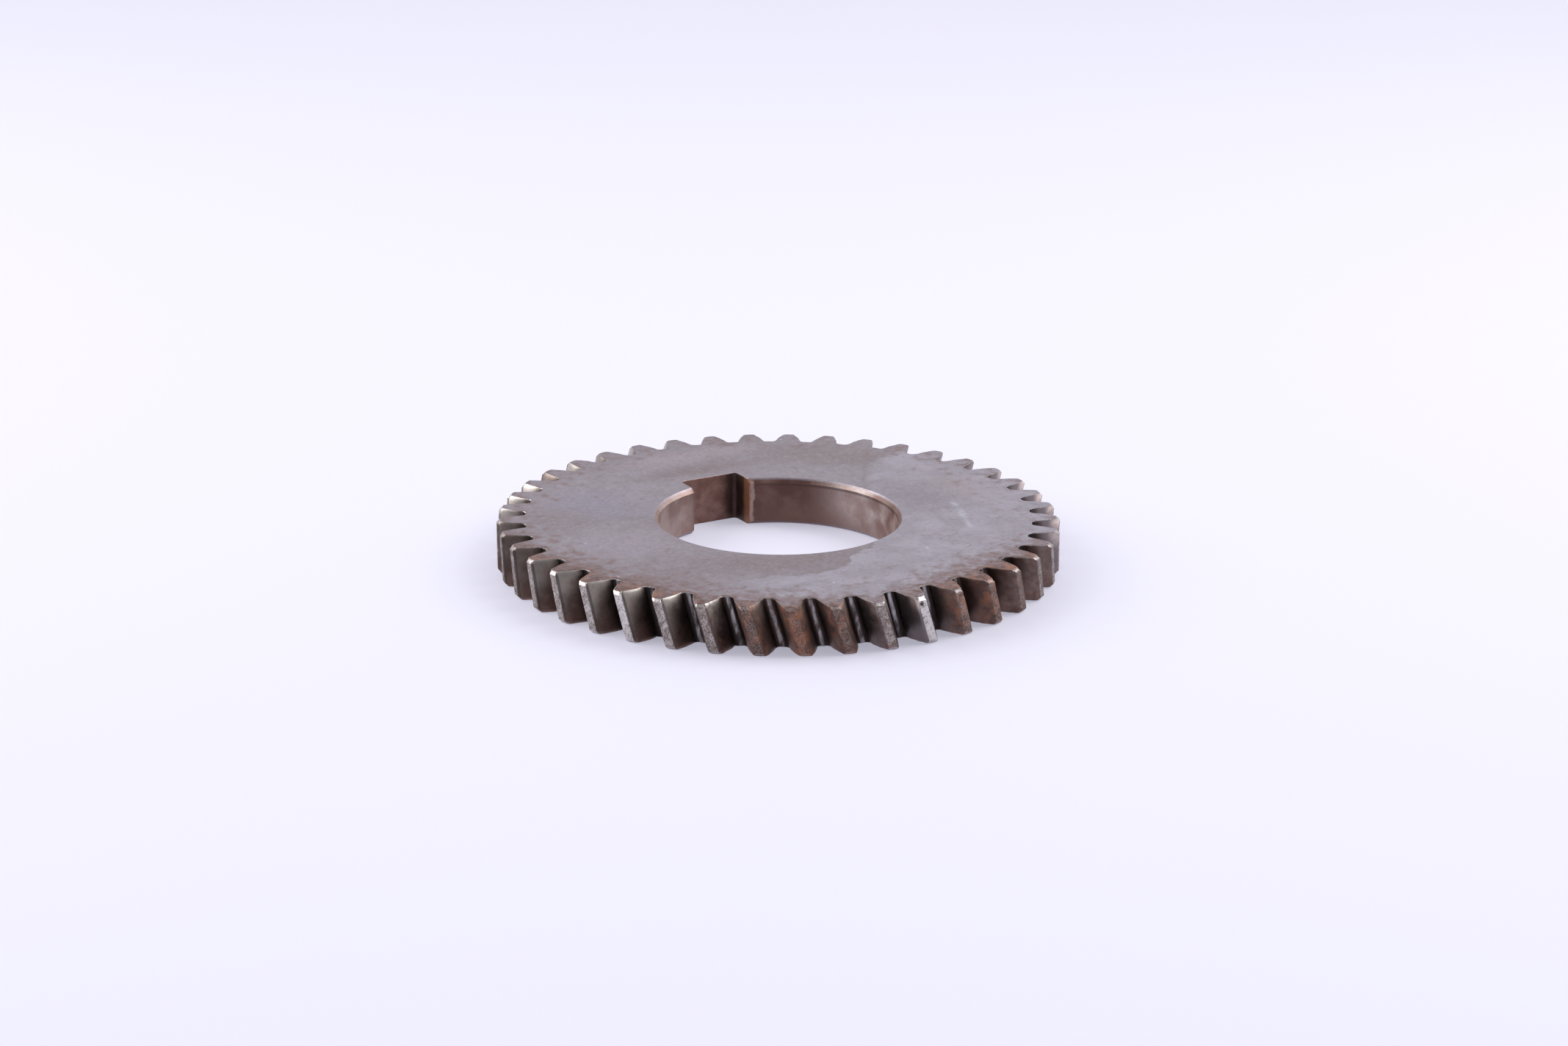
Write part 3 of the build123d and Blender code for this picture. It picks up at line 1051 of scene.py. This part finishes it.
def make_gear():
    """The visible gear, in place of its CAD node."""
    mesh = build_mesh(GearSkin())
    mesh.materials.append(worn_steel())
    gear = bpy.data.objects.new("worn_helical_gear", mesh)
    bpy.context.scene.collection.objects.link(gear)
    smooth = gear.modifiers.new("flat_faces", "WEIGHTED_NORMAL")
    smooth.keep_sharp = True
    smooth.weight = 80
    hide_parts(NODE)
    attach(gear, BODY)


# ---------------------------------------------------------------- stage


def level_axes():
    """The level directions away from the camera and to its right."""
    azimuth = math.radians(CAMERA_AZIMUTH)
    away = -Vector((math.cos(azimuth), math.sin(azimuth), 0))
    return away, away.cross(UP)


def make_camera():
    """The photographer's view."""
    away, right = level_axes()
    elevation = math.radians(CAMERA_ELEVATION)
    forward = away * math.cos(elevation) - UP * math.sin(elevation)
    upward = right.cross(forward)
    roll = math.radians(CAMERA_ROLL)
    own_x = right * math.cos(roll) + upward * math.sin(roll)
    own_y = upward * math.cos(roll) - right * math.sin(roll)
    aim = right * AIM_RIGHT - away * AIM_NEAR + UP * HALF_FACE
    data = bpy.data.cameras.new("camera")
    data.sensor_width = CAMERA_SENSOR
    data.lens = CAMERA_LENS
    seat = bpy.data.objects.new("camera", data)
    turn = Matrix((own_x, own_y, -forward)).transposed()
    seat.matrix_world = Matrix.Translation((aim - forward * CAMERA_DISTANCE) * MM) @ turn.to_4x4()
    bpy.context.scene.collection.objects.link(seat)
    bpy.context.scene.camera = seat


def make_floor():
    """A wide pale floor under the gear, lit a little from within, so shadows stay light."""
    half_width = 4.0
    low = cad_box[0].z
    corners = [(x * half_width, y * half_width, low) for x, y in ((-1, -1), (1, -1), (1, 1), (-1, 1))]
    mesh = bpy.data.meshes.new("floor")
    mesh.from_pydata(corners, [], [(0, 1, 2, 3)])
    material = bpy.data.materials.new("pale_floor")
    material.use_nodes = True
    shader = material.node_tree.nodes["Principled BSDF"]
    shader.inputs["Base Color"].default_value = (0.515, 0.508, 0.573, 1)
    shader.inputs["Emission Color"].default_value = (0.85, 0.84, 1.0, 1)
    shader.inputs["Emission Strength"].default_value = 0.4
    shader.inputs["Roughness"].default_value = 0.6
    shader.inputs["Specular IOR Level"].default_value = 0.2
    mesh.materials.append(material)
    plane = bpy.data.objects.new("floor", mesh)
    bpy.context.scene.collection.objects.link(plane)


def softbox(name, bearing, elevation, distance, size, power):
    """A square soft light facing the gear. Its bearing is counted from behind the gear to the right."""
    away, right = level_axes()
    bearing = math.radians(bearing)
    elevation = math.radians(elevation)
    flat = away * math.cos(bearing) + right * math.sin(bearing)
    toward = flat * math.cos(elevation) + UP * math.sin(elevation)
    data = bpy.data.lights.new(name, "AREA")
    data.shape = "SQUARE"
    data.size = size
    data.energy = power
    lamp = bpy.data.objects.new(name, data)
    turn = toward.to_track_quat("Z", "Y").to_matrix()
    lamp.matrix_world = Matrix.Translation(toward * distance) @ turn.to_4x4()
    bpy.context.scene.collection.objects.link(lamp)


def make_world():
    """A pale studio all round: bright behind the gear, dim behind the camera."""
    away = level_axes()[0]
    made = bpy.data.worlds.new("studio")
    made.use_nodes = True
    tree = made.node_tree
    background = tree.nodes["Background"]
    direction = tree.nodes.new("ShaderNodeTexCoord")
    toward = tree.nodes.new("ShaderNodeVectorMath")
    toward.operation = "DOT_PRODUCT"
    toward.inputs[1].default_value = away
    tree.links.new(direction.outputs["Generated"], toward.inputs[0])
    shade = tree.nodes.new("ShaderNodeMapRange")
    shade.inputs["From Min"].default_value = -0.9
    shade.inputs["From Max"].default_value = 0.6
    shade.inputs["To Min"].default_value = 0.25
    shade.inputs["To Max"].default_value = 0.78
    tree.links.new(toward.outputs["Value"], shade.inputs["Value"])
    tree.links.new(shade.outputs["Result"], background.inputs["Strength"])
    background.inputs["Color"].default_value = (0.95, 0.94, 1.0, 1)
    bpy.context.scene.world = made


make_gear()
make_camera()
make_floor()
make_world()
softbox("left_softbox", bearing=-80, elevation=32, distance=1.1, size=0.8, power=7.4)
softbox("right_softbox", bearing=75, elevation=42, distance=1.1, size=0.7, power=6.6)
bpy.context.scene.view_settings.view_transform = "Standard"
